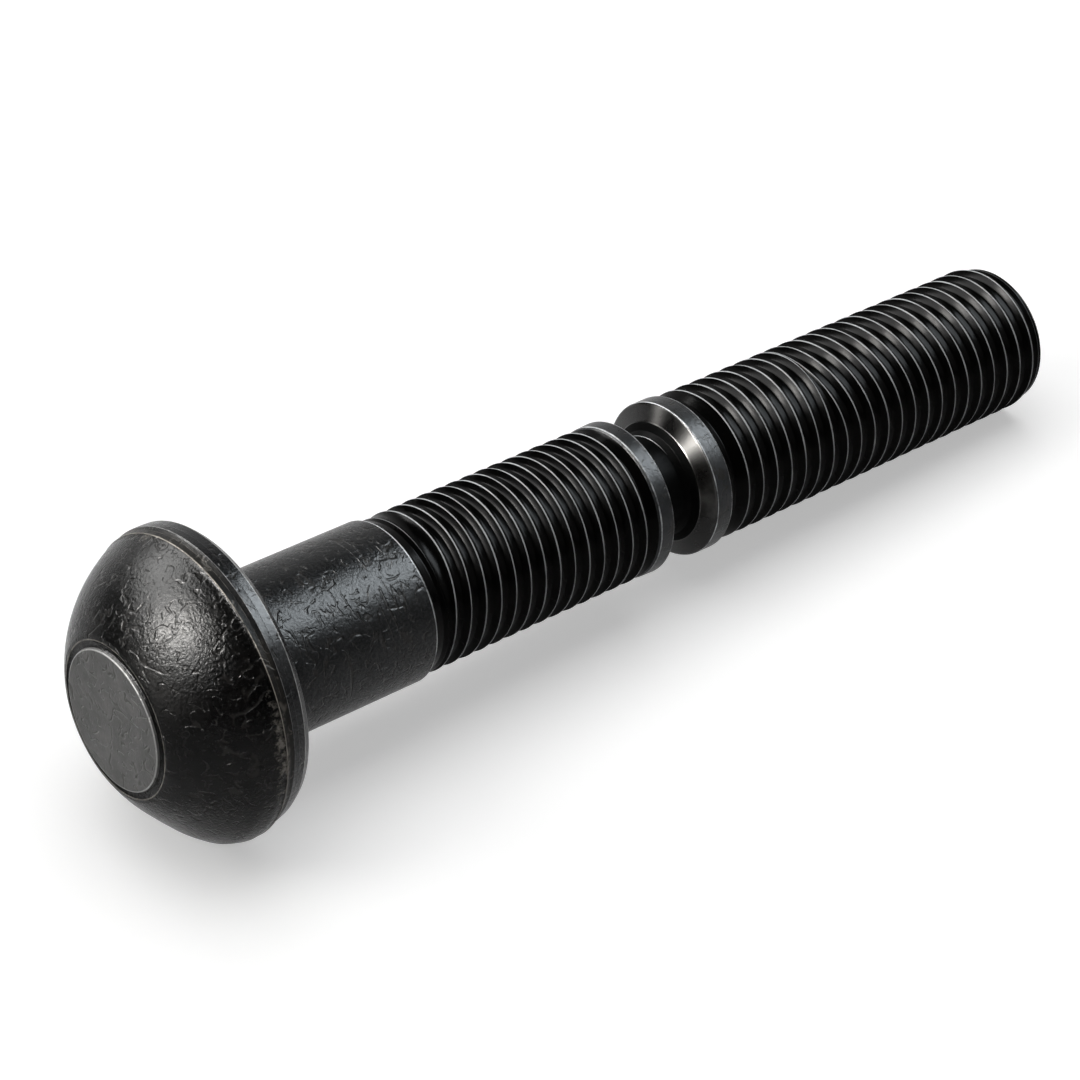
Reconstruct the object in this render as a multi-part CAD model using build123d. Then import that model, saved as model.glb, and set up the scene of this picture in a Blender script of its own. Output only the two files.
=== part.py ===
from build123d import *
import os
from math import sqrt

# Pin of a round head lockbolt: one piece of blackened steel, headed by forging
# and then rolled with rings of grooves. A collar is swaged into the lock
# grooves, the tool pulls on the pull grooves, and the pin snaps at its neck.
# The pin is a body of revolution about Z. It stands on the flat crown of its
# head, with the origin at the middle of that flat. All sizes are millimetres.

# Head, from the crown up to the face that bears on the work
head_height = 11.0
head_radius = 14.8
crown_radius = 6.65  # flat disc, raised above the dome
crown_step = 0.4  # how far the disc stands proud of the dome
crown_slope_width = 1.1  # slope that runs round the disc
rim_inset = 0.3  # the dome's edge lies this far inside the head's outside
rim_band_height = 0.9  # leaning band between the dome and the rim
rim_height = 1.7  # straight part of the rim
rim_break = 0.5  # broken edge between the rim and the bearing face
under_head_break = 0.5  # corner between the bearing face and the shank

# Shank, which fills the hole; the rings beyond it are given from its outside
shank_radius = 7.95
grip_length = 18.9  # from the bearing face to the shank's end
run_out_drop = 0.6  # taper from the shank's end down to the first lock groove
run_out_length = 1.88

# Lock grooves: closed rings, not a thread
lock_crest_count = 14
lock_pitch = 1.76
lock_crest_drop = 0.25  # the crests lie this far inside the shank
lock_groove_depth = 0.63
lock_first_climb = 0.9  # from the first groove up to the first crest

# Pull grooves on the pintail, closed rings again
pull_crest_count = 21
pull_pitch = 2.0
pull_crest_drop = 0.33
pull_groove_depth = 0.63
pull_first_fall = 0.85  # from the second band down to the first groove
pull_first_climb = 1.58

# Every other groove climbs over this length and falls over the rest of its pitch
climb_length = 1.0

# Break neck, between two plain bands
lock_band_drop = 0.2
lock_band_width = 1.73
neck_drop = 3.0
neck_wall_length = 1.2  # steep wall on the head's side of the neck
neck_length = 2.45  # straight part of the neck
neck_ramp_length = 1.15  # ramp on the pintail's side of the neck
neck_ramp_rise = 1.15
neck_cone_length = 0.69  # cone from the ramp up to the second band
pull_band_drop = 0.1
pull_band_width = 1.92

# End of the pintail
tail_climb_length = 0.65  # from the last groove up to the end's edge
tail_inset = 0.4  # the end's edge lies this far inside the pull crests
tail_break = 0.36


class Section:
    """Half of the pin's section, drawn up from the crown as (radius, height)."""

    def __init__(self):
        self.edges = []
        self.corner = (0, 0)

    def to(self, radius, height):
        """A straight edge to a corner given by its place."""
        self.edges.append(Line(self.corner, (radius, height)))
        self.corner = (radius, height)

    def by(self, out, up):
        """A straight edge to a corner given by how far out and up it lies."""
        self.to(self.corner[0] + out, self.corner[1] + up)

    def up_to_radius(self, radius, up):
        """A straight edge that climbs by a height and ends at a radius."""
        self.to(radius, self.corner[1] + up)

    def dome(self, radius, height):
        """An arc of the sphere, centred on the axis, through both of its ends."""
        near_radius, near_height = self.corner
        spread = radius**2 - near_radius**2 + height**2 - near_height**2
        centre = spread / (2 * (height - near_height))
        middle = (near_height + height) / 2
        middle_radius = sqrt(radius**2 + (centre - height) ** 2 - (centre - middle) ** 2)
        self.edges.append(
            ThreePointArc(self.corner, (middle_radius, middle), (radius, height))
        )
        self.corner = (radius, height)


def head(section):
    """The flat crown, the spherical dome, the rim and the bearing face."""
    section.to(crown_radius, 0)
    section.by(crown_slope_width, crown_step)
    rim_foot = head_height - rim_break - rim_height
    section.dome(head_radius - rim_inset, rim_foot - rim_band_height)
    section.to(head_radius, rim_foot)
    section.by(0, rim_height)
    section.by(-rim_break, rim_break)
    section.to(shank_radius + under_head_break, head_height)
    section.by(-under_head_break, under_head_break)


def shank(section):
    """The plain shank and the taper from its crisp end to the first groove."""
    section.to(shank_radius, head_height + grip_length)
    section.by(-run_out_drop, run_out_length)


def rings(section, count, pitch, crest_radius, depth, first_climb):
    """Closed rings, each a crest and the groove behind it."""
    section.up_to_radius(crest_radius, first_climb)
    for _ in range(count - 1):
        section.by(-depth, pitch - climb_length)
        section.by(depth, climb_length)
    section.by(-depth, pitch - climb_length)


def lock_grooves(section):
    """The rings that the collar is swaged into, beside the grip."""
    crest_radius = shank_radius - lock_crest_drop
    rings(
        section,
        lock_crest_count,
        lock_pitch,
        crest_radius,
        lock_groove_depth,
        lock_first_climb,
    )


def break_neck(section):
    """A plain band, the neck where the pin snaps, and a second plain band."""
    section.up_to_radius(shank_radius - lock_band_drop, climb_length)
    section.by(0, lock_band_width)
    section.up_to_radius(shank_radius - neck_drop, neck_wall_length)
    section.by(0, neck_length)
    section.by(neck_ramp_rise, neck_ramp_length)
    section.up_to_radius(shank_radius - pull_band_drop, neck_cone_length)
    section.by(0, pull_band_width)


def pintail(section):
    """The rings that the tool pulls on, up to the pin's flat end."""
    crest_radius = shank_radius - pull_crest_drop
    section.up_to_radius(crest_radius - pull_groove_depth, pull_first_fall)
    rings(
        section,
        pull_crest_count,
        pull_pitch,
        crest_radius,
        pull_groove_depth,
        pull_first_climb,
    )
    section.up_to_radius(crest_radius - tail_inset, tail_climb_length)
    section.by(-tail_break, tail_break)
    section.to(0, section.corner[1])


def pin():
    """One solid: the half section, closed along the axis and turned about Z."""
    section = Section()
    head(section)
    shank(section)
    lock_grooves(section)
    break_neck(section)
    pintail(section)
    section.to(0, 0)
    return revolve(Plane.XZ * make_face(section.edges), axis=Axis.Z)


os.makedirs("parts", exist_ok=True)
export_step(pin(), "parts/pin.step")
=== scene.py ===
import bpy
import numpy as np
from mathutils import Matrix, Vector


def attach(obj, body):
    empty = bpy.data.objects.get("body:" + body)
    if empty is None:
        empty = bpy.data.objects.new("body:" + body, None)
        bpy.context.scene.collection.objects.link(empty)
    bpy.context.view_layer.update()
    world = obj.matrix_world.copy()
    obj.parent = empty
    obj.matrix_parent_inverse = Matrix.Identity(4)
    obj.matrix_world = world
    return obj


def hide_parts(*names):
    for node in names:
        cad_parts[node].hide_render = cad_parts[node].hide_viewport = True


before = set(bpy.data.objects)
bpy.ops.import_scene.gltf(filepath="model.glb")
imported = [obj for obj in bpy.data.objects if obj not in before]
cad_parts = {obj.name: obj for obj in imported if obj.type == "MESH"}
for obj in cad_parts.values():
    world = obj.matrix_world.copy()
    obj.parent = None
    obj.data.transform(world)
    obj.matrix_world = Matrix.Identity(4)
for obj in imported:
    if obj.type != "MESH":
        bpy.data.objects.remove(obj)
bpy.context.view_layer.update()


# The head. Forged hot from the bar into a round button, with the flat disc of
# the die's ejector left proud on its crown, then blackened with the whole pin.
COLUMNS = 112
around = np.arange(COLUMNS) * 2 * np.pi / COLUMNS
# Each column's angle above the side that faces the camera, as the pin lies.
camera_side = np.radians(1.9)
upper = np.mod(camera_side - around + np.pi, 2 * np.pi) - np.pi

crown_radius, crown_step = 6.65, 0.40
dome_inner, dome_outer, dome_edge_height = 7.85, 14.50, 7.90
head_radius, head_height = 14.80, 11.00
shank_radius = 7.95


def turned(corners, step=0.8):
    """Rows (radius, height, wear) of a turned surface. Each corner is given as
    radius, height, rounding and wear, which is 1 where handling has worn it
    bright; on some corners it also draws a painted highlight. Between corners the
    rows lie on straight lines. At a corner they lie on the arc of that rounding
    that touches both lines, and they carry the corner's wear there and nowhere
    beside it."""
    beside, arc_points = 0.03, 5
    corners = np.array(corners, float)
    rows = [corners[0, [0, 1, 3]]]
    for before, here, after in zip(corners[:-2], corners[1:-1], corners[2:]):
        into, out = here[:2] - before[:2], after[:2] - here[:2]
        into, out = into / np.linalg.norm(into), out / np.linalg.norm(out)
        turn = np.arccos(np.clip(into @ out, -1, 1))
        side = np.sign(into[0] * out[1] - into[1] * out[0])
        reach = here[2] * np.tan(turn / 2)
        start = here[:2] - into * reach
        centre = start + side * here[2] * np.array([-into[1], into[0]])
        arm = start - centre
        angle = side * np.linspace(0, turn, arc_points)[:, None]
        turned_arm = np.hstack([
            np.cos(angle) * arm[0] - np.sin(angle) * arm[1],
            np.sin(angle) * arm[0] + np.cos(angle) * arm[1],
        ])
        rows.append(np.append(start - into * beside, 0.0))
        rows.extend(np.hstack([centre + turned_arm, np.full((arc_points, 1), here[3])]))
        rows.append(np.append(here[:2] + out * (reach + beside), 0.0))
    rows.append(corners[-1, [0, 1, 3]])
    filled = [rows[0]]
    for low, high in zip(rows[:-1], rows[1:]):
        pieces = int(np.linalg.norm(high[:2] - low[:2]) // step) + 1
        share = np.linspace(0, 1, pieces + 1)[1:, None]
        worn = np.where(share < 1, 0.0, high[2])
        filled.extend(np.hstack([low[:2] + share * (high[:2] - low[:2]), worn]))
    return np.array(filled)


def dome(inner, outer, low, high, count=34):
    """Rows on the sphere, centred on the axis, through both given rings."""
    centre = (outer**2 - inner**2 + high**2 - low**2) / (2 * (high - low))
    sphere = np.hypot(outer, high - centre)
    angle = np.linspace(np.arcsin(inner / sphere), np.arcsin(outer / sphere), count)
    radius, height = sphere * np.sin(angle), centre - sphere * np.cos(angle)
    return np.stack([radius, height, np.zeros(count)], 1)


crown_rows = turned([
    (0.4, 0.0, 0, 0),
    (crown_radius, 0.0, 0.12, 1.0),
    (crown_radius + 0.10, 0.22, 0, 0),
])
step_rows = turned([
    (crown_radius + 0.11, 0.25, 0, 0),
    (crown_radius + 0.22, 0.40, 0.10, 0),
    (crown_radius + 0.55, 0.40, 0.12, 0),
    (crown_radius + 0.80, 0.28, 0.14, 0.55),
    (dome_inner - 0.02, crown_step - 0.01, 0, 0),
], step=0.2)
dome_rows = dome(dome_inner, dome_outer - 0.12, crown_step, dome_edge_height - 0.14)
rim_rows = turned([
    (dome_outer - 0.06, dome_edge_height - 0.08, 0, 0.3),
    (dome_outer, dome_edge_height, 0.16, 0.85),
    (head_radius - 0.20, 8.45, 0.20, 0.45),
    (head_radius - 0.08, 8.78, 0, 0),
], step=0.25)
side_rows = turned([
    (head_radius - 0.07, 8.80, 0, 0),
    (head_radius - 0.02, 8.92, 0.14, 0.75),
    (head_radius, 9.60, 0, 0),
    (head_radius - 0.03, 10.48, 0.16, 0.9),
    (14.30, head_height, 0.30, 0),
    (shank_radius, head_height, 0.50, 0),
    (shank_radius, head_height + 1.2, 0, 0),
])


def skewed(rows):
    """The head's rows for every column. The dies struck it a little askew, so
    its side is narrower underneath: there the dome's edge has slid up the sphere
    and the rim's back edge has slid down, in proportion to one minus the cosine
    of the angle from where the side is widest. Lower down the dome also bulges
    more and the rim stays smaller, so that the two run into each other. That
    goes with the square of one plus the cosine of the angle from the fullest
    place."""
    widest, fullest = np.radians(55), np.radians(-100)
    rows = np.repeat(rows[:, None, :], COLUMNS, axis=1)
    under = (1 - np.cos(upper - widest)) / 2
    bulging = ((1 + np.cos(upper - fullest)) / 2) ** 2
    near_rim = np.clip((rows[..., 0] - 9.0) / 5.0, 0, 1)
    height = rows[..., 1].copy()
    slide = np.interp(height, [5.0, 7.9, 8.85, 10.5, 11.0], [0, 0.45, 0.10, -0.55, 0]) * under
    outward = np.interp(height, [5.0, 7.9, 8.85, 9.2], [0.45, 0.42, 0.10, 0]) * slide
    levels = [2.5, 4.5, 6.0, 7.2, 8.2, 9.0, 11.0]
    bulge = np.interp(height, levels, [-0.15, 0.4, 0.55, 0.2, -0.45, -0.75, -1.05])
    outward += bulge * bulging * near_rim
    # Painted shade: the worn edges of the rim and side are made dimmer underneath.
    painted_shade_underneath = np.interp(height, [8.0, 8.4, 9.3, 10.0], [0.45, 0.85, 0.75, 0.30])
    rows[..., 1] += slide
    rows[..., 0] = np.minimum(rows[..., 0] + outward, head_radius)
    rows[..., 2] *= 1 - painted_shade_underneath * under
    return rows


# The shank and its run-out. The shank is the bar as drawn, plain and a little
# scuffed, and ends in a crisp edge where the rolling dies began. A shallow
# taper leads from there down into the first lock groove.
shank_end = 29.90
lock_crest = 7.70
groove_depth = 0.63

shank_rows = turned([
    (shank_radius, head_height + 1.5, 0, 0),
    (shank_radius, shank_end, 0.20, 1.0),
    (shank_radius - 0.14, shank_end + 0.12, 0, 0),
], step=0.9)
run_out_rows = turned([
    (shank_radius - 0.16, shank_end + 0.14, 0, 0),
    (shank_radius - 0.34, shank_end + 0.35, 0.20, 0),
    (shank_radius - 0.50, shank_end + 1.15, 0.30, 0),
    (shank_radius - 0.36, shank_end + 1.66, 0.10, 0.6),
    (lock_crest - groove_depth * 0.8, shank_end + 1.98, 0, 0),
], step=0.3)


def wear_with_painted_top_light(rows, low, high, least=0.0):
    """Rows for every column, whose wear grows from that least share of it to the
    whole between two angles above the side that faces the camera. The worn edges
    are real; their growth towards the top is painted light: a painted highlight
    above and painted shade below."""
    rows = np.repeat(rows[:, None, :], COLUMNS, axis=1)
    share = np.clip((np.degrees(upper) - low) / (high - low), 0, 1)
    rows[..., 2] *= least + (1 - least) * share
    return rows


# The rings. Two dies roll the lock grooves and the pull grooves into the blank:
# closed rings, each with a narrow land on its crest, a steep flank behind it and
# a long one that climbs to the next. The dies never meet quite in step.
def die_share(seam_low, seam_high, blend):
    """Share of the lower die at each column: 1 below the seams and 0 above
    them, with a smooth change over the blend angle at each seam."""
    rise = np.clip((upper - seam_low) / blend + 0.5, 0, 1)
    fall = np.clip((seam_high - upper) / blend + 0.5, 0, 1)
    inside = np.minimum(rise * rise * (3 - 2 * rise), fall * fall * (3 - 2 * fall))
    return 1 - inside


def rings(low_crests, high_crests, share, crest_radius):
    """Rows of closed rings, as arrays of rows by columns. The crests lie at
    low_crests under the lower die and at high_crests under the upper one. From
    one crest to the next, t runs from 0 to 1: a land, a fall that eases in and
    out, a root that rises gently over most of the climb, and a steep flank. A
    groove squeezed between two crests is shallower in the same proportion. The
    crests wander in and out by up to two hundredths of a millimetre. Their lands
    are worn bright, scaled by painted light from above: whole towards the top,
    and about half at the bottom."""
    low_crests, high_crests = np.array(low_crests), np.array(high_crests)
    crests = high_crests[:, None] + (low_crests - high_crests)[:, None] * share
    gap = np.diff(crests, axis=0)
    land, root, gentle, gentle_rise, beside = 0.036, 0.30, 0.62, 0.18, 0.012
    climb = np.array([0.30, 0.58, 0.64, 0.72, 0.86])
    t = np.concatenate([
        [0, land, land + beside],
        np.linspace(land, root, 5)[1:],
        root + climb * (1 - land - root),
        [1 - land - beside, 1 - land],
    ])[:, None]
    fall = np.clip((t - land) / (root - land), 0, 1)
    climb = np.clip((t - root) / (1 - land - root), 0, 1)
    flank = np.clip((climb - gentle) / (1 - gentle), 0, 1) ** 1.25
    climbed = gentle_rise * climb + (1 - gentle_rise) * flank
    depth = fall * fall * (3 - 2 * fall) * (1 - climbed)
    # Painted light: the worn crest lands are whole at the top and about half as bright at the
    # bottom.
    least_lit_wear = 0.48
    painted_top_light = np.clip((upper + np.radians(30)) / np.radians(95), 0, 1)
    wear_lit_from_top = least_lit_wear + (1 - least_lit_wear) * painted_top_light
    worn = np.where((t <= land) | (t >= 1 - land), 1.0, 0.0) * wear_lit_from_top
    drop = depth[None] * groove_depth * np.minimum(gap / np.median(gap), 1)[:, None, :]
    height = crests[:-1, None, :] + t[None] * gap[:, None, :]
    wobble = 0.012 * np.sin(3 * around + crests[:-1])
    wobble += 0.010 * np.sin(7 * around + 5 * crests[:-1])
    radius = crest_radius - 0.02 + wobble[:, None, :] * (1 - depth[None]) - drop
    worn = np.broadcast_to(worn[None], radius.shape)
    rows = np.stack([radius, height, worn], -1).reshape(-1, COLUMNS, 3)
    ends = []
    for crest, ring, way in ((crests[0], radius[0, 0], -1), (crests[-1], radius[-1, 0], 1)):
        edge = np.array([0.07, 0.09])[:, None] * way + crest
        end_wear_lit_from_top = np.array([[1.0], [0.0]]) * wear_lit_from_top
        edge_radius = np.stack([ring, ring - 0.02])
        ends.append(np.stack([edge_radius, edge, end_wear_lit_from_top], -1))
    last = np.stack([radius[-1, 0], crests[-1], wear_lit_from_top], -1)[None]
    return np.concatenate([ends[0][::-1], rows, last, ends[1]])


lock_count = 14
lock_low = 32.10 + 1.805 * np.arange(lock_count)
lock_high = 33.25 + 1.716 * np.arange(lock_count)
lock_share = die_share(np.radians(-15), np.radians(165), np.radians(100))
lock_rows = rings(lock_low, lock_high, lock_share, lock_crest)


# The break neck. A plain band closes the lock grooves, then the pin drops to the
# neck where it snaps once the collar is swaged. A turned cone rises to the
# second band, which the tool's nose bears on. Its bright sectors are painted
# highlights, drawn as bare steel under its black.
band_1, band_2 = 7.75, 7.85
neck_radius = 4.95

last_groove_rows = turned([
    (lock_crest - 0.06, 55.72, 0, 0),
    (lock_crest - groove_depth, 56.15, 0.20, 0),
    (7.50, 57.18, 0, 0),
], step=0.35)
band_rows = turned([
    (7.52, 57.20, 0, 0),
    (band_1 - 0.06, 57.45, 0.22, 0.80),
    (band_1, 59.00, 0.18, 0.62),
    (7.05, 59.22, 0, 0),
], step=0.35)
wall_rows = turned([
    (6.95, 59.26, 0, 0),
    (6.35, 59.62, 0.20, 0),
    (neck_radius + 0.30, 60.25, 0, 0),
], step=0.35)
neck_rows = turned([
    (neck_radius + 0.24, 60.29, 0, 0),
    (neck_radius, 60.45, 0.40, 0),
    (neck_radius, 62.60, 0, 0),
], step=0.35)
# Painted highlight: the ramp's first corner is fully worn bare steel, a thin bright arc that fades
# lower down.
ramp_rows = turned([
    (neck_radius, 62.64, 0, 0),
    (neck_radius + 0.05, 62.76, 0.14, 1.0),
    (5.35, 63.35, 0.20, 0),
    (6.04, 63.74, 0, 0),
], step=0.35)
cone_rows = turned([
    (6.08, 63.77, 0, 0),
    (6.17, 63.84, 0.20, 0),
    (band_2 - 0.10, 64.48, 0, 0),
], step=0.2)
# Painted highlights on the cone: its wear is raised a little all round, and much
# more in a few sectors round it, so that bare steel shows there as bright sectors.
cone_rows = np.repeat(cone_rows[:, None, :], COLUMNS, axis=1)
cone_rows[..., 2] += 0.30
for patch, half, amount in ((15.5, 9.5, 0.65), (56, 6.5, 0.25), (-33, 12, 0.05)):
    cone_rows[..., 2] += amount * np.exp(-(((np.degrees(upper) - patch) / half) ** 2))
collar_rows = turned([
    (band_2 - 0.08, 64.50, 0, 0),
    (band_2, 64.58, 0.11, 0.88),
    (band_2, 66.42, 0.18, 0.55),
    (7.60, 66.56, 0, 0),
], step=0.35)
first_groove_rows = turned([
    (7.58, 66.58, 0, 0),
    (7.20, 66.95, 0.20, 0),
    (7.00, 67.60, 0.25, 0),
    (7.55, 68.72, 0, 0),
], step=0.35)


# The pintail. More rings, at a wider pitch, for the tool's jaws to pull on, and
# a sheared end with its edge broken. It is thrown away once the pin has snapped.
# The lower die has one ring more than the upper, so one upper crest splits.
pull_crest, pull_pitch = 7.62, 2.0
first_pull_crest, last_pull_crest = 68.89, 108.89
pull_low = first_pull_crest + np.arange(22) * 40 / 21
steps = np.concatenate([np.arange(7), [6.04], np.arange(7, 21)])
pull_high = first_pull_crest + steps * pull_pitch
pull_share = die_share(np.radians(12), np.radians(192), np.radians(90))
pull_rows = rings(pull_low, pull_high, pull_share, pull_crest)

overall_length = 110.89
end_rows = turned([
    (pull_crest - 0.06, 109.05, 0, 0),
    (7.02, 109.55, 0.20, 0),
    (7.22, 110.15, 0.10, 0.4),
    (7.20, 110.52, 0.12, 0.5),
    (6.84, overall_length, 0.10, 0.1),
    (0.4, overall_length, 0, 0),
])


# The whole pin. It is one piece of steel, so all its stretches join up into one
# closed skin, and each stretch has the finish that its making left on it.
MM = 0.001  # the rows are in millimetres


def spread(rows):
    """Rows of a turned surface, repeated for every column."""
    return np.broadcast_to(rows[:, None, :], (len(rows), COLUMNS, 3))


CROWN, DOME, RIM, SIDE, SHANK, RINGS, BAND, NECK, CONE = range(9)
sections = [
    (CROWN, spread(crown_rows)),
    (DOME, spread(step_rows)),
    (DOME, skewed(dome_rows)),
    (RIM, skewed(rim_rows)),
    (SIDE, skewed(side_rows)),
    # Painted light: these worn edges are brightest at the top and dimmer below.
    (SHANK, wear_with_painted_top_light(shank_rows, -5, 40, 0.58)),
    (RINGS, wear_with_painted_top_light(run_out_rows, -20, 50)),
    (RINGS, lock_rows),
    (RINGS, spread(last_groove_rows)),
    (BAND, wear_with_painted_top_light(band_rows, -5, 60, 0.66)),
    (NECK, spread(wall_rows)),
    (NECK, spread(neck_rows)),
    (NECK, wear_with_painted_top_light(ramp_rows, 10, 50)),
    (CONE, cone_rows),
    (BAND, wear_with_painted_top_light(collar_rows, -5, 60, 0.70)),
    (RINGS, spread(first_groove_rows)),
    (RINGS, pull_rows),
    (RINGS, spread(end_rows)),
]
grid = np.concatenate([rows for _, rows in sections])
finish = np.concatenate([np.full(len(rows), kind) for kind, rows in sections])
count = len(grid)

skin = np.empty((count, COLUMNS, 3))
skin[..., 0] = grid[..., 0] * np.cos(around)
skin[..., 1] = grid[..., 0] * np.sin(around)
skin[..., 2] = grid[..., 1]
poles = [[0, 0, grid[0, 0, 1]], [0, 0, grid[-1, 0, 1]]]
points = np.vstack([skin.reshape(-1, 3), poles]) * MM
# Wear per vertex: real worn edges, with painted highlights and painted shade in it.
wear_and_painted_light = np.append(grid[..., 2].reshape(-1), [0, 0])
# Scuffs gather near the dome's edge: in a patch low on the side that faces the
# camera, in a smaller one near the top, and lightly all round.
angle = np.degrees(upper)
scuffed = np.exp(-(((angle + 36) / 30) ** 2)) + 0.8 * np.exp(-(((angle - 73) / 14) ** 2)) + 0.25
scuff = np.interp(grid[..., 1], [6.3, 7.5, 8.4, 8.9], [0, 0.58, 0.50, 0]) * scuffed
scuff = np.append(scuff.reshape(-1), [0, 0])

corner = np.arange(count * COLUMNS).reshape(count, COLUMNS)
beside = np.roll(corner, -1, axis=1)
quads = np.stack([corner[:-1], beside[:-1], beside[1:], corner[1:]], -1).reshape(-1, 4)
first, last = count * COLUMNS, count * COLUMNS + 1
fan_low = np.stack([np.full(COLUMNS, first), beside[0], corner[0]], -1)
fan_high = np.stack([np.full(COLUMNS, last), corner[-1], beside[-1]], -1)

mesh = bpy.data.meshes.new("pin_skin")
mesh.from_pydata(points.tolist(), [], quads.tolist() + fan_low.tolist() + fan_high.tolist())
mesh.attributes.new("wear_and_painted_light", "FLOAT", "POINT").data.foreach_set("value", wear_and_painted_light)
mesh.attributes.new("scuff", "FLOAT", "POINT").data.foreach_set("value", scuff)
slots = np.concatenate([
    np.repeat(finish[:-1], COLUMNS), np.full(COLUMNS, finish[0]), np.full(COLUMNS, finish[-1])
])
mesh.polygons.foreach_set("material_index", slots.astype(np.int32))
mesh.polygons.foreach_set("use_smooth", np.ones(len(mesh.polygons), bool))
mesh.update()
pin = bpy.data.objects.new("lockbolt_pin", mesh)
bpy.context.collection.objects.link(pin)


# Finishes. Hot-forged steel under a black phosphate: almost black, with a faint
# brown or blue cast, small pits and scuffs, and grey steel where edges rub. Some
# of that grey steel is painted light, brighter towards the top.
def node_group(name, inputs, outputs):
    """An empty shader group with float inputs and typed outputs."""
    group = bpy.data.node_groups.new(name, "ShaderNodeTree")
    for label, value in inputs.items():
        socket = group.interface.new_socket(label, in_out="INPUT", socket_type="NodeSocketFloat")
        socket.default_value = value
    for label, kind in outputs.items():
        group.interface.new_socket(label, in_out="OUTPUT", socket_type=kind)
    return group, group.nodes.new("NodeGroupInput"), group.nodes.new("NodeGroupOutput")


def add(tree, kind, links=(), values=(), **settings):
    """A node with its settings, its input links and its input values."""
    node = tree.nodes.new(kind)
    for key, value in settings.items():
        setattr(node, key, value)
    for socket, value in dict(values).items():
        node.inputs[socket].default_value = value
    for socket, source in dict(links).items():
        tree.links.new(source, node.inputs[socket])
    return node


def maths(tree, operation, first, second, clamp=False):
    """The result of a sum on two sockets or numbers."""
    node = add(tree, "ShaderNodeMath", operation=operation, use_clamp=clamp)
    for index, item in enumerate((first, second)):
        if isinstance(item, (int, float)):
            node.inputs[index].default_value = item
        else:
            tree.links.new(item, node.inputs[index])
    return node.outputs[0]


def ramp(tree, source, low, high, to_low=0.0, to_high=1.0):
    """The source between low and high, brought to the range to_low to to_high."""
    values = {1: low, 2: high, 3: to_low, 4: to_high}
    return add(tree, "ShaderNodeMapRange", {"Value": source}, values).outputs["Result"]


def noise(tree, scale, detail=2.0, roughness=0.5, distortion=0.0):
    """Noise over the surface, with about scale lumps to the metre."""
    place = add(tree, "ShaderNodeTexCoord").outputs["Object"]
    values = {"Scale": scale, "Detail": detail, "Roughness": roughness, "Distortion": distortion}
    return add(tree, "ShaderNodeTexNoise", {"Vector": place}, values).outputs["Fac"]


def surface_marks():
    """Mottle, grain, and short worm-like marks. The marks are the narrow bands
    round the middle value of a noise, cut to short pieces by a second noise.
    Streaks run round the pin, as a turning tool or a rolling die leaves them:
    noise that changes fast along Z and slowly round it. Scratches are the narrow
    bands of such a noise, and run round the pin too."""
    outputs = {name: "NodeSocketFloat" for name in ("Mottle", "Grain", "Marks", "Height")}
    inputs = {"Mark Amount": 0.5, "Mark Depth": 1.0, "Streaks": 0.0, "Scratches": 0.0, "Grain": 0.4}
    group, source, sink = node_group("surface marks", inputs, outputs)
    mottle = noise(group, 330.0, 5.0, 0.62)
    grain = noise(group, 3600.0, 3.0, 0.60)
    bar = maths(group, "SUBTRACT", 1.0, source.outputs["Mark Amount"])
    both = []
    for size, width, patches in ((820.0, 0.040, 900.0), (440.0, 0.042, 640.0)):
        curl = noise(group, size, 0.6, 0.5, 0.5)
        off = maths(group, "ABSOLUTE", maths(group, "SUBTRACT", curl, 0.5), 0.0)
        band = ramp(group, off, width * 0.3, width, 1.0, 0.0)
        keep = maths(group, "SUBTRACT", noise(group, patches, 1.0), bar)
        keep = maths(group, "MULTIPLY", keep, 14.0, clamp=True)
        both.append(maths(group, "MULTIPLY", band, keep))
    place = add(group, "ShaderNodeTexCoord").outputs["Object"]
    squeezed = add(group, "ShaderNodeMapping", {"Vector": place}, {"Scale": (0.12, 0.12, 1.0)})
    scratch = add(group, "ShaderNodeTexNoise", {"Vector": squeezed.outputs[0]},
                  {"Scale": 1100.0, "Detail": 0.5}).outputs["Fac"]
    off = maths(group, "ABSOLUTE", maths(group, "SUBTRACT", scratch, 0.5), 0.0)
    scratch = ramp(group, off, 0.012, 0.035, 1.0, 0.0)
    keep = maths(group, "SUBTRACT", noise(group, 330.0, 1.0), 0.56)
    keep = maths(group, "MULTIPLY", keep, 16.0, clamp=True)
    keep = maths(group, "MULTIPLY", keep, source.outputs["Scratches"])
    scratch = maths(group, "MULTIPLY", scratch, keep)
    marks = maths(group, "MAXIMUM", maths(group, "MAXIMUM", *both), scratch)
    dent = maths(group, "MULTIPLY", marks, source.outputs["Mark Depth"])
    streak = add(group, "ShaderNodeTexNoise", {"Vector": squeezed.outputs[0]},
                 {"Scale": 3000.0, "Detail": 2.0, "Roughness": 0.6}).outputs["Fac"]
    streak = maths(group, "MULTIPLY", streak, source.outputs["Streaks"])
    height = maths(group, "SUBTRACT", maths(group, "MULTIPLY", mottle, 1.2), dent)
    height = maths(group, "ADD", height, maths(group, "MULTIPLY", grain, source.outputs["Grain"]))
    height = maths(group, "ADD", height, streak)
    for name, socket in (("Mottle", mottle), ("Grain", grain), ("Marks", marks), ("Height", height)):
        group.links.new(socket, sink.inputs[name])
    return group


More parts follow.
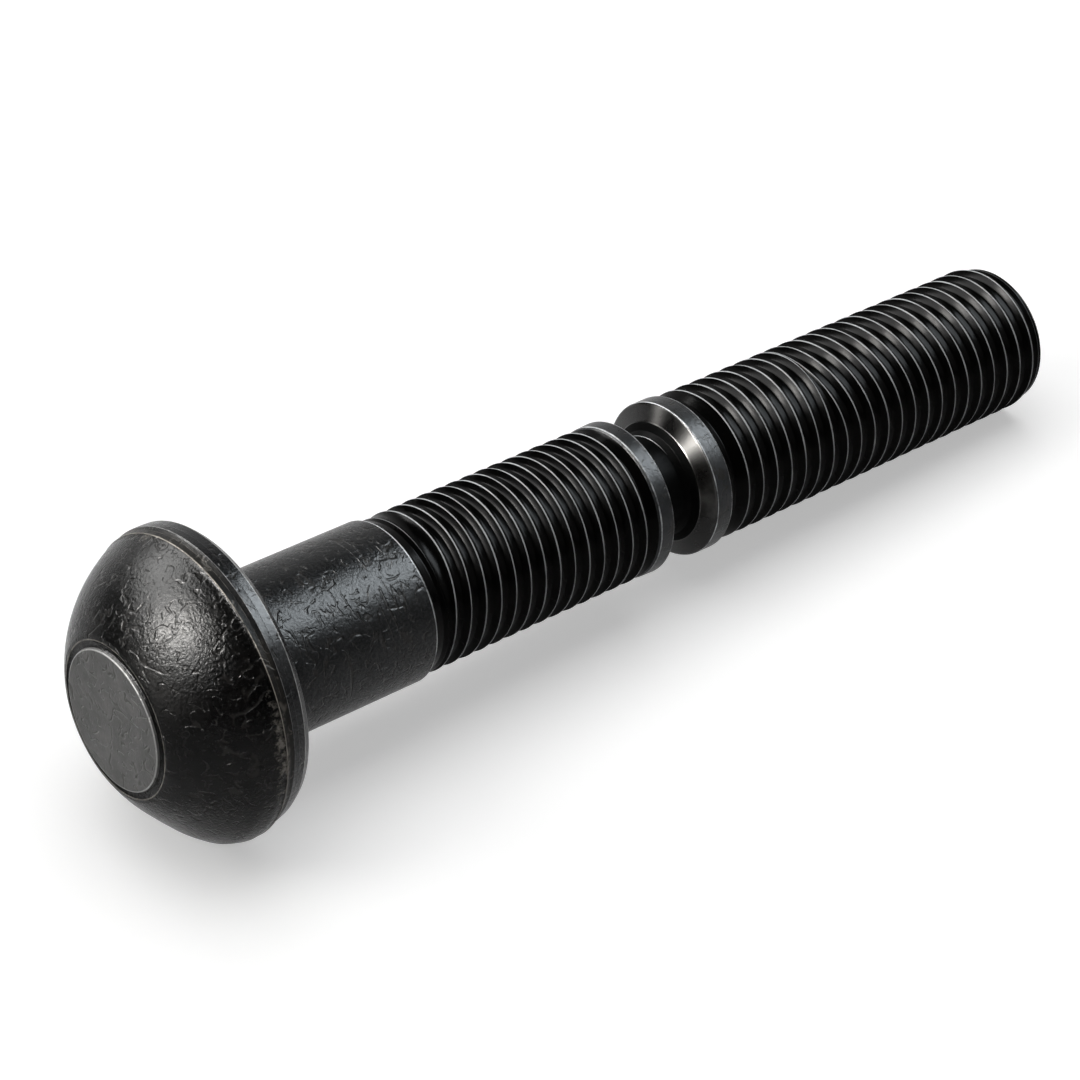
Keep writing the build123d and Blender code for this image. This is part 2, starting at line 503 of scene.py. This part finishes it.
def edge_wear_and_highlights():
    """Bare steel where the wear attribute is high, and fainter flecks of it where
    the scuff attribute is, both broken up by noise. The wear attribute holds
    real edge wear and also painted highlights."""
    group, source, sink = node_group("edge wear", {"Break Up": 0.5}, {"Bare": "NodeSocketFloat"})
    worn = add(group, "ShaderNodeAttribute", attribute_name="wear_and_painted_light").outputs["Fac"]
    ragged = maths(group, "SUBTRACT", noise(group, 700.0, 4.0, 0.65), 0.5)
    ragged = maths(group, "MULTIPLY", ragged, source.outputs["Break Up"])
    ragged = maths(group, "MULTIPLY", ragged, worn)
    bare = ramp(group, maths(group, "ADD", worn, ragged), 0.30, 0.95)
    scuffed = add(group, "ShaderNodeAttribute", attribute_name="scuff").outputs["Fac"]
    fleck = maths(group, "SUBTRACT", noise(group, 1500.0, 3.0, 0.7), 0.42)
    fleck = maths(group, "MULTIPLY", maths(group, "MULTIPLY", fleck, 4.2), scuffed)
    fleck = ramp(group, maths(group, "ADD", scuffed, fleck), 0.66, 1.25, 0.0, 0.29)
    group.links.new(maths(group, "MAXIMUM", bare, fleck), sink.inputs["Bare"])
    return group


marks_group, wear_and_highlight_group = surface_marks(), edge_wear_and_highlights()


BARE, STEEL = (0.30, 0.30, 0.295), (0.645, 0.665, 0.68)
CHIP = (0.012, 0.011, 0.010)


def blackened(name, dark, light, rough, shine, marks, break_up, bump, grain,
              chip=CHIP, bare=STEEL, metal=0.1, streaks=0.0, scratches=0.0):
    """A blackened steel finish. Colour runs from dark to light with the mottle,
    to chip in the marks, and to bare steel where edges are worn and where
    highlights are painted. Marks are given as their amount and depth, rough as its
    range, and bump in metres."""
    material = bpy.data.materials.new(name)
    material.use_nodes = True
    tree = material.node_tree
    shader = tree.nodes["Principled BSDF"]
    surface = add(tree, "ShaderNodeGroup", node_tree=marks_group)
    amounts = {"Mark Amount": marks[0], "Mark Depth": marks[1], "Streaks": streaks,
               "Scratches": scratches, "Grain": grain}
    for label, amount in amounts.items():
        surface.inputs[label].default_value = amount
    edges = add(tree, "ShaderNodeGroup", node_tree=wear_and_highlight_group)
    edges.inputs["Break Up"].default_value = break_up
    tone = ramp(tree, surface.outputs["Mottle"], 0.35, 0.70)
    coat = add(tree, "ShaderNodeMix", {0: tone}, {6: (*dark, 1), 7: (*light, 1)}, data_type="RGBA")
    marked = add(tree, "ShaderNodeMix", {0: surface.outputs["Marks"], 6: coat.outputs[2]},
                 {7: (*chip, 1)}, data_type="RGBA")
    colour = add(tree, "ShaderNodeMix", {0: edges.outputs["Bare"], 6: marked.outputs[2]},
                 {7: (*bare, 1)}, data_type="RGBA")
    tree.links.new(colour.outputs[2], shader.inputs["Base Color"])
    tree.links.new(maths(tree, "MULTIPLY", edges.outputs["Bare"], metal), shader.inputs["Metallic"])
    matt = ramp(tree, surface.outputs["Grain"], 0.3, 0.7, *rough)
    smooth = add(tree, "ShaderNodeMix", {0: edges.outputs["Bare"], 2: matt}, {3: 0.45},
                 data_type="FLOAT")
    tree.links.new(smooth.outputs[0], shader.inputs["Roughness"])
    shader.inputs["Specular IOR Level"].default_value = shine
    relief = add(tree, "ShaderNodeBump", {"Height": surface.outputs["Height"]},
                 {"Strength": 1.0, "Distance": bump})
    tree.links.new(relief.outputs["Normal"], shader.inputs["Normal"])
    return material


finishes = {
    CROWN: blackened(
        "crown_face", dark=(0.046, 0.046, 0.045), light=(0.098, 0.097, 0.095), rough=(0.50, 0.60),
        shine=0.20, marks=(0.50, 1.0), break_up=0.8, bump=0.000055, grain=0.6,
        chip=(0.030, 0.030, 0.028), bare=BARE,
    ),
    DOME: blackened(
        "forged_dome", dark=(0.0010, 0.0010, 0.0009), light=(0.0040, 0.0037, 0.0034),
        rough=(0.16, 0.30), shine=0.09, marks=(0.51, 0.75), break_up=1.8, bump=0.000044, grain=1.15,
        bare=(0.45, 0.42, 0.37),
    ),
    RIM: blackened(
        "forged_rim", dark=(0.0015, 0.0015, 0.0015), light=(0.020, 0.018, 0.015),
        rough=(0.30, 0.45), shine=0.08, marks=(0.47, 0.8), break_up=2.4, bump=0.000040, grain=1.0,
        chip=(0.06, 0.055, 0.048), bare=(0.30, 0.275, 0.24),
    ),
    SIDE: blackened(
        "forged_side", dark=(0.0038, 0.0042, 0.0048), light=(0.0085, 0.0092, 0.0100),
        rough=(0.20, 0.32), shine=0.16, marks=(0.44, 1.0), break_up=1.6, bump=0.000022, grain=0.8,
        bare=BARE, streaks=0.4,
    ),
    SHANK: blackened(
        "drawn_shank", dark=(0.0035, 0.0039, 0.0043), light=(0.0080, 0.0088, 0.0094),
        rough=(0.20, 0.34), shine=0.13, marks=(0.49, 0.9), break_up=2.0, bump=0.000044, grain=1.0,
        scratches=1.0,
    ),
    RINGS: blackened(
        "rolled_rings", dark=(0.0008, 0.0008, 0.0008), light=(0.0018, 0.0016, 0.0014),
        rough=(0.18, 0.26), shine=0.021, marks=(0.0, 0.0), break_up=0.5, bump=0.000006, grain=0.4,
        metal=0.0, streaks=1.2,
    ),
    BAND: blackened(
        "turned_band", dark=(0.0060, 0.0069, 0.0078), light=(0.0250, 0.0270, 0.0290),
        rough=(0.26, 0.42), shine=0.14, marks=(0.47, 0.7), break_up=2.4, bump=0.000022, grain=0.9,
        streaks=0.8, scratches=0.6,
    ),
    # Painted shade: the neck, its wall and ramp reflect almost nothing, so the recess between band
    # and cone stays dark.
    NECK: blackened(
        "dull_neck_painted_shade", dark=(0.0012, 0.0013, 0.0013), light=(0.0025, 0.0027, 0.0027),
        rough=(0.35, 0.45), shine=0.012, marks=(0.0, 0.0), break_up=0.6, bump=0.000008, grain=0.4,
        streaks=0.8,
    ),
    # The cone's bare colour and metal draw its painted highlights.
    CONE: blackened(
        "turned_cone", dark=(0.0045, 0.0042, 0.0038), light=(0.0075, 0.0070, 0.0064),
        rough=(0.18, 0.24), shine=0.22, marks=(0.0, 0.0), break_up=0.25, bump=0.000004, grain=0.4,
        bare=(0.60, 0.585, 0.56), metal=0.22, streaks=0.8,
    ),
}
for index in sorted(finishes):
    mesh.materials.append(finishes[index])

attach(pin, "root")
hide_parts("pin")


# Lying and standing. The pin stands on its crown. The camera looks at it from
# the side and below, rolled so that it lies as on a table: on the head's rim and
# the last rings. That table is a plane against those two rings.
rim_back = 10.05  # height of the rim's back edge underneath
lying_dip = np.arctan2(head_radius - pull_crest, last_pull_crest - rim_back)
side_on = np.array([np.sqrt(0.5), -np.sqrt(0.5), 0.0])
lying_up = side_on * np.cos(lying_dip) - np.array([0, 0, 1]) * np.sin(lying_dip)
table_level = (grid[..., 1] * lying_up[2] - grid[..., 0] * np.cos(lying_dip)).min() * MM

camera_at = Vector((0.27400, 0.00916, -0.13577))
aim_at = Vector((0.0, 0.00061, 0.04851))
view = (aim_at - camera_at).normalized()
up = Vector(lying_up)
right = view.cross(up).normalized()
away = up.cross(right)
turn = Matrix((right, right.cross(view), -view)).transposed().to_4x4()
camera_data = bpy.data.cameras.new("camera")
camera_data.sensor_width, camera_data.lens = 36.0, 116.67
camera_data.clip_start, camera_data.clip_end = 0.01, 20.0
camera = bpy.data.objects.new("camera", camera_data)
camera.matrix_world = Matrix.Translation(camera_at) @ turn
bpy.context.collection.objects.link(camera)
bpy.context.scene.camera = camera

pin_middle = Vector((0, 0, 0.052))


def lying(rightward, awayward, upward):
    """A place on the table's axes, in metres from the middle of the pin."""
    return pin_middle + right * rightward + away * awayward + up * upward


def from_middle(turned_right, lifted, distance):
    """A place seen from the pin's middle, by its angle to the right of straight
    away, its angle above the table and its distance."""
    bearing, lift = np.radians(turned_right), np.radians(lifted)
    flat = distance * np.cos(lift)
    return lying(flat * np.sin(bearing), flat * np.cos(bearing), distance * np.sin(lift))


# The stage: the white table, a floor under the crown for the standing views, and
# black cards that only reflections see, for the studio's dark side and ceiling.
def plane(name, centre, normal, width, height):
    """A rectangle facing along the normal, with its height towards the top."""
    data = bpy.data.meshes.new(name)
    w, h = width / 2, height / 2
    data.from_pydata([(-w, -h, 0), (w, -h, 0), (w, h, 0), (-w, h, 0)], [], [(0, 1, 2, 3)])
    thing = bpy.data.objects.new(name, data)
    normal = Vector(normal)
    level = up.cross(normal) if abs(up.dot(normal)) < 0.99 else away.cross(normal)
    level = level.normalized()
    axes = Matrix((level, normal.cross(level), normal)).transposed().to_4x4()
    thing.matrix_world = Matrix.Translation(centre) @ axes
    bpy.context.collection.objects.link(thing)
    return thing


def background_rays(tree):
    """1 for the rays that see the background, which are camera, glossy and
    transmission rays, and then 1 for camera rays alone."""
    path = add(tree, "ShaderNodeLightPath").outputs
    seen = maths(tree, "MAXIMUM", path["Is Camera Ray"], path["Is Glossy Ray"])
    return maths(tree, "MAXIMUM", seen, path["Is Transmission Ray"]), path["Is Camera Ray"]


def white_floor(name, lift, only_seen=False):
    """White from its front and clear from behind. What the camera and the
    reflections see is lifted to white, so that only the shadow shows. When
    only_seen is true, it is clear to all but the camera."""
    material = bpy.data.materials.new(name)
    material.use_nodes = True
    tree = material.node_tree
    tree.nodes.clear()
    seen, camera_ray = background_rays(tree)
    matt = add(tree, "ShaderNodeBsdfDiffuse", values={"Color": (0.80, 0.80, 0.80, 1)})
    white = add(tree, "ShaderNodeEmission", {"Strength": maths(tree, "MULTIPLY", seen, lift)})
    both = add(tree, "ShaderNodeAddShader", {0: matt.outputs[0], 1: white.outputs[0]})
    clear = add(tree, "ShaderNodeBsdfTransparent")
    hide = add(tree, "ShaderNodeNewGeometry").outputs["Backfacing"]
    if only_seen:
        hide = maths(tree, "MAXIMUM", maths(tree, "SUBTRACT", 1.0, camera_ray), hide)
    mixed = add(tree, "ShaderNodeMixShader", {0: hide, 1: both.outputs[0], 2: clear.outputs[0]})
    add(tree, "ShaderNodeOutputMaterial", {"Surface": mixed.outputs[0]})
    return material


expanse = 6.0
table = plane("table", up * table_level, up, expanse, expanse)
table.data.materials.append(white_floor("white_table", 0.43))
# The floor ends where it meets the table, and lies just below the crown.
foot = Vector(side_on) * (table_level / np.cos(lying_dip) + expanse / 2)
floor = plane("floor", foot + Vector((0, 0, -0.00002)), Vector((0, 0, 1)), expanse, expanse)
floor.data.materials.append(white_floor("white_floor", 0.67, only_seen=True))
# The far part of the head reflects a flat ring of floor round its crown. Only
# reflections and shadows have it, and it hides the lamps from that part.
ring_points = 35
part_round = np.radians(np.linspace(75, 245, ring_points))
sunk = np.full(ring_points, -0.00004)
ring = np.concatenate([
    np.stack([reach * np.cos(part_round), reach * np.sin(part_round), sunk], 1)
    for reach in (0.0068, 0.030)
])
step = np.arange(ring_points - 1)
ring_faces = np.stack([step, step + ring_points, step + ring_points + 1, step + 1], 1)
ring_mesh = bpy.data.meshes.new("floor_round_crown")
ring_mesh.from_pydata(ring.tolist(), [], ring_faces.tolist())
round_crown = bpy.data.objects.new("floor_round_crown", ring_mesh)
bpy.context.collection.objects.link(round_crown)
round_crown.data.materials.append(white_floor("white_ring", 0.67))
round_crown.visible_camera = False
round_crown.visible_diffuse = False

black = bpy.data.materials.new("black_card")
black.use_nodes = True
black_shader = black.node_tree.nodes["Principled BSDF"]
black_shader.inputs["Base Color"].default_value = (0.01, 0.01, 0.01, 1)
black_shader.inputs["Roughness"].default_value = 1.0
cards = {
    "card_above": (lying(0, 0, 1.8), -up, 4.0, 4.0),
    "card_front": (lying(0, -1.8, 0.9), away, 4.0, 2.0),
    "card_right": (lying(1.8, -0.4, 0.1), -right, 3.0, 0.5),
    "card_left": (lying(-1.8, -0.4, 0.9), right, 3.2, 2.0),
}
for name, (centre, normal, width, height) in cards.items():
    card = plane(name, centre, normal, width, height)
    card.data.materials.append(black)
    card.visible_camera = False
    card.visible_diffuse = False
    card.visible_shadow = False


# Light: two soft boxes light the set, from the left and from overhead. Beside
# them, bright strips that show in reflections only draw the highlights. The world
# is white to all that sees it, and adds a little light from everywhere.
def soft_box(name, place, width, height, radiance, colour, reflected):
    """A rectangular lamp of that radiance, aimed at the pin's middle. It either
    lights surfaces or shows in reflections."""
    data = bpy.data.lights.new(name, "AREA")
    data.shape, data.size, data.size_y = "RECTANGLE", width, height
    data.energy, data.color = radiance * np.pi * width * height, colour
    lamp = bpy.data.objects.new(name, data)
    aim = (lying(0, 0, 0) - place).normalized()
    level = aim.cross(up).normalized()
    axes = Matrix((level, level.cross(aim), -aim)).transposed().to_4x4()
    lamp.matrix_world = Matrix.Translation(place) @ axes
    bpy.context.collection.objects.link(lamp)
    lamp.visible_camera = False
    lamp.visible_diffuse = not reflected
    lamp.visible_glossy = reflected
    return lamp


WARM, COOL = (1.0, 0.97, 0.93), (0.88, 0.95, 1.0)
soft_box("left_box", from_middle(-105, 40, 1.1), 0.50, 0.50, 3.2, (1.0, 0.985, 0.96), False)
soft_box("top_box", from_middle(-30, 82, 1.1), 1.20, 1.20, 2.1, (1.0, 1.0, 1.0), False)
soft_box("left_wide", from_middle(-93, 47, 1.0), 1.80, 0.50, 24.0, (1.0, 0.995, 0.98), True)
soft_box("left_core", from_middle(-120, 45, 0.98), 0.30, 0.21, 160.0, WARM, True)
soft_box("low_strip", from_middle(-125, 12, 1.1), 0.70, 0.38, 5.0, WARM, True)
soft_box("right_strip", from_middle(70, 48, 0.9), 0.60, 0.40, 28.0, COOL, True)

world = bpy.data.worlds.new("studio")
bpy.context.scene.world = world
world.use_nodes = True
seen, _ = background_rays(world.node_tree)
background = world.node_tree.nodes["Background"]
background.inputs["Color"].default_value = (1, 1, 1, 1)
fill_light = 0.12
strength = ramp(world.node_tree, seen, 0.0, 1.0, fill_light, 1.0)
world.node_tree.links.new(strength, background.inputs["Strength"])

bpy.context.scene.view_settings.view_transform = "Standard"
